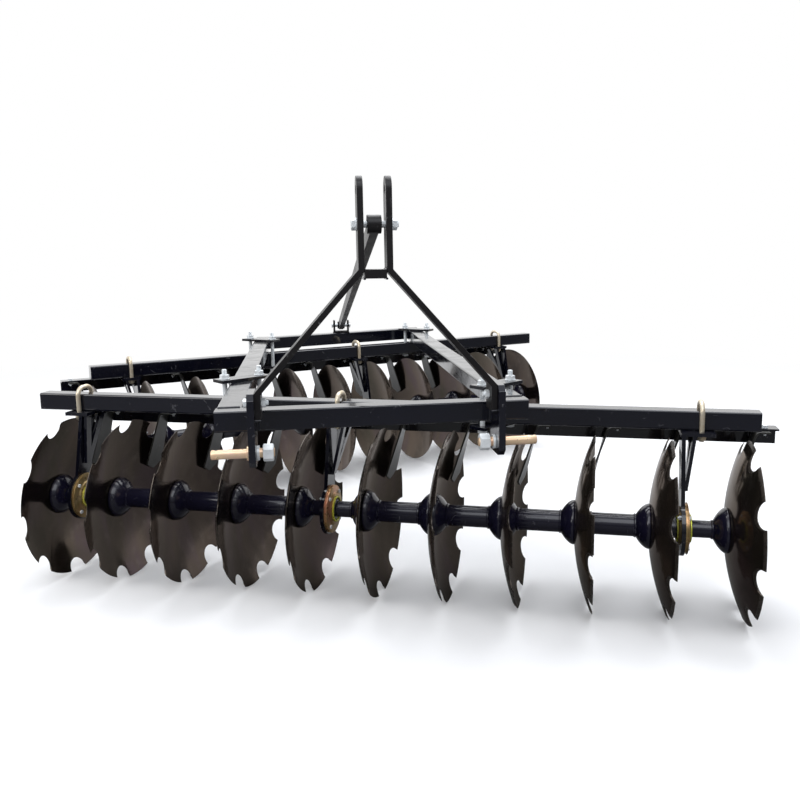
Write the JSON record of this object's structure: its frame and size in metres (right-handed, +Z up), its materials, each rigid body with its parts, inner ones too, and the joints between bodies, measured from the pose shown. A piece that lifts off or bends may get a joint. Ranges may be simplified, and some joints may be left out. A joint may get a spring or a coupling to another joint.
{
  "type": "offset disc harrow",
  "caption": "Tractor-mounted offset disc harrow: square-tube frame, three-point mast and two angled disc gangs, notched discs in front and plain discs behind.",
  "frame": {"origin": "centre of the bounding box at ground level, under the discs", "axes": "+X to the right seen from the hitch, +Y to the rear, +Z up; the hitch faces -Y"},
  "size_m": [2.1728, 2.4138, 1.1059],
  "materials": {
    "frame_paint": "gloss",
    "spool_paint": "gloss",
    "scraper_paint": "satin",
    "disc_steel": "satin",
    "yellow_zinc": "satin",
    "pin_zinc": "satin",
    "white_zinc": "satin"
  },
  "bodies": {
    "frame": {"front_cross_tube": "frame_paint", "rear_cross_tube": "frame_paint", "rail_left": "frame_paint", "hitch_plate_left": "frame_paint", "hitch_pin_left": "pin_zinc", "mast_bar_left": "frame_paint", "rail_right": "frame_paint", "hitch_plate_right": "frame_paint", "hitch_pin_right": "pin_zinc", "mast_bar_right": "frame_paint", "mast_tie": "frame_paint", "mast_bolt": "white_zinc", "rear_brace": "frame_paint", "brace_clevis": "frame_paint", "clevis_pin": "white_zinc", "front_gang_beam": "frame_paint", "front_bearings": "yellow_zinc", "front_hanger_left": "frame_paint", "front_hanger_middle": "frame_paint", "front_hanger_right": "frame_paint", "front_u_bolts": "yellow_zinc", "front_scraper_bar": "frame_paint", "front_scrapers": "scraper_paint", "front_clamp_plates": "frame_paint", "front_clamp_bolts": "white_zinc", "rear_gang_beam": "frame_paint", "rear_bearings": "yellow_zinc", "rear_hanger_left": "frame_paint", "rear_hanger_middle": "frame_paint", "rear_hanger_right": "frame_paint", "rear_u_bolts": "yellow_zinc", "rear_scraper_bar": "frame_paint", "rear_scrapers": "scraper_paint", "rear_clamp_plates": "frame_paint", "rear_clamp_bolts": "white_zinc"},
    "front_gang": {"front_discs": "disc_steel", "front_spools": "spool_paint", "front_shaft": "spool_paint"},
    "rear_gang": {"rear_discs": "disc_steel", "rear_spools": "spool_paint", "rear_shaft": "spool_paint"}
  },
  "joints": [
    {"name": "front_gang_spin", "type": "hinge", "parent": "frame", "child": "front_gang", "pos_m": [-0.00576, -0.63765, 0.23], "axis": [0.9361, -0.3518, 0], "continuous": true},
    {"name": "rear_gang_spin", "type": "hinge", "parent": "frame", "child": "rear_gang", "pos_m": [0.00224, 0.66136, 0.23], "axis": [0.9304, 0.3665, 0], "continuous": true}
  ]
}
